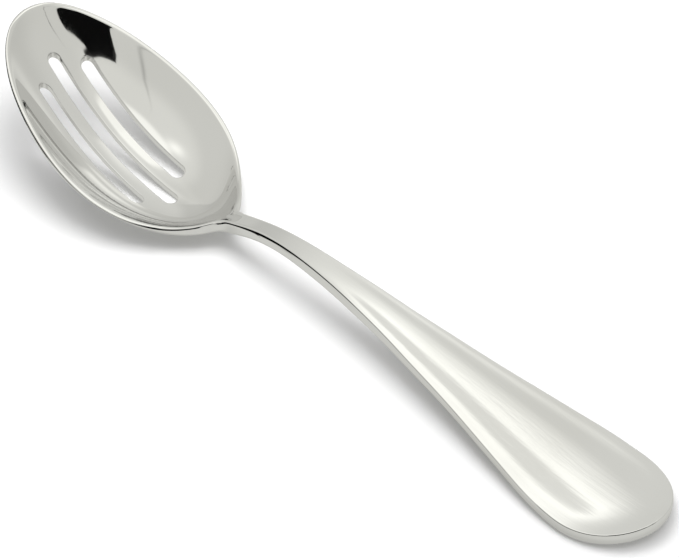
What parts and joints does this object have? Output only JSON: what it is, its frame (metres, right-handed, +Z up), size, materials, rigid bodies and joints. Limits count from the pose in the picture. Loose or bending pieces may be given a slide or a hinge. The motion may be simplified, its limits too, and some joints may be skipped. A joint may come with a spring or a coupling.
{
  "type": "slotted serving spoon",
  "caption": "Slotted serving spoon: egg-shaped bowl pierced by long parallel slots, slim neck, arched handle that flares to a broad rounded end turned up slightly.",
  "frame": {"origin": "on the table surface that the spoon rests on, under the middle of its length and width", "axes": "+X runs along the spoon from the tip of the bowl to the end of the handle, +Z is up from the table through the open side of the bowl, +Y completes the right-handed frame across the spoon"},
  "size_m": [0.23, 0.051, 0.0345],
  "materials": {
    "polished_steel": "mirror-polished stainless steel with fine polishing lines along the spoon"
  },
  "bodies": {
    "root": {"bowl": "polished_steel", "neck": "polished_steel", "handle": "polished_steel"}
  },
  "joints": []
}
